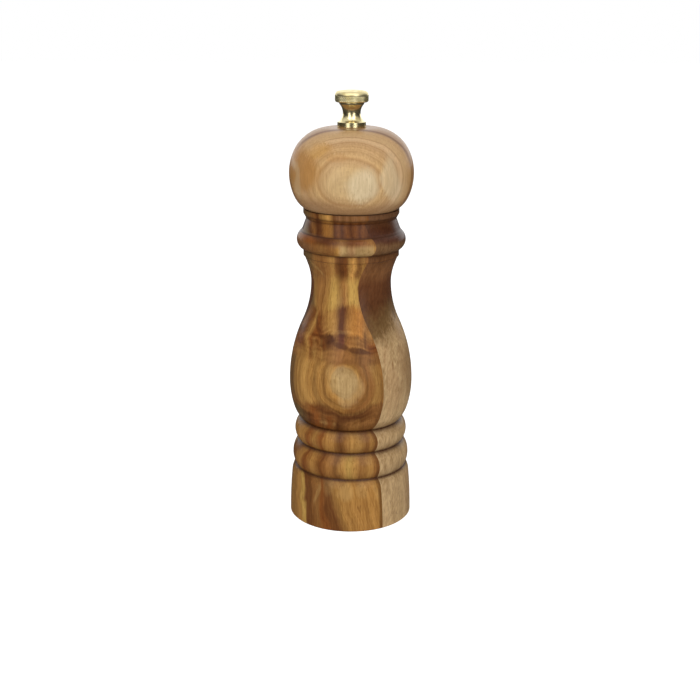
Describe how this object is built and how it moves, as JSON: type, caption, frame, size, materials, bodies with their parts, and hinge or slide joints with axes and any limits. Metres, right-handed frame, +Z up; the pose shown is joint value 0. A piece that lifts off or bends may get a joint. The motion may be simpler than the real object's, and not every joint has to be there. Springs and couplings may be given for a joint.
{
  "type": "pepper mill",
  "caption": "Turned wooden pepper mill with a mushroom head, beaded collar, waisted body and knurled brass adjusting knob; the head turns and lifts off.",
  "frame": {"origin": "middle of the foot's standing face, on the mill's axis", "axes": "+Z up along the mill's axis, -Y towards the front board"},
  "size_m": [0.059, 0.059, 0.2033],
  "materials": {
    "core_wood": "satin lacquer over tan and dark brown wood",
    "board_wood": "satin lacquer over golden brown figured wood",
    "head_wood": "satin lacquer over light tan wood",
    "brass": "polished, with a knurled rim",
    "shaft_aluminium": "drawn bar",
    "plate_steel": "zinc plated",
    "burr_steel": "dark hardened steel"
  },
  "bodies": {
    "mill_body": {"body_core": "core_wood", "body_front_board": "board_wood", "body_back_board": "board_wood", "female_burr": "burr_steel", "bridge": "plate_steel", "crossbar": "plate_steel", "crossbar_screws": "plate_steel"},
    "drive": {"spring_seat": "plate_steel", "spring": "plate_steel"},
    "shaft_set": {"shaft": "shaft_aluminium", "male_burr": "burr_steel", "burr_washer": "plate_steel", "shaft_clip": "plate_steel"},
    "head_set": {"head": "head_wood", "turn_plate": "plate_steel", "turn_plate_screws": "plate_steel"},
    "knob_set": {"knob": "brass"}
  },
  "joints": [
    {"name": "head_turn", "type": "hinge", "parent": "mill_body", "child": "drive", "pos_m": [0, 0, 0.0366], "axis": [0, 0, 1], "continuous": true},
    {"name": "grind_adjust", "type": "slide", "parent": "drive", "child": "shaft_set", "axis": [0, 0, 1], "range_m": [-0.0016, 0.0012], "deforming": ["spring"]},
    {"name": "head_lift", "type": "slide", "parent": "drive", "child": "head_set", "axis": [0, 0, 1], "range_m": [0, 0.064]},
    {"name": "knob_turn", "type": "hinge", "parent": "head_set", "child": "knob_set", "pos_m": [0, 0, 0.18685], "axis": [0, 0, 1], "range_deg": [-540, 720]}
  ],
  "couplings": [
    {"joint": "grind_adjust", "follows": "knob_turn", "m_per_rad": -0.00012732}
  ]
}
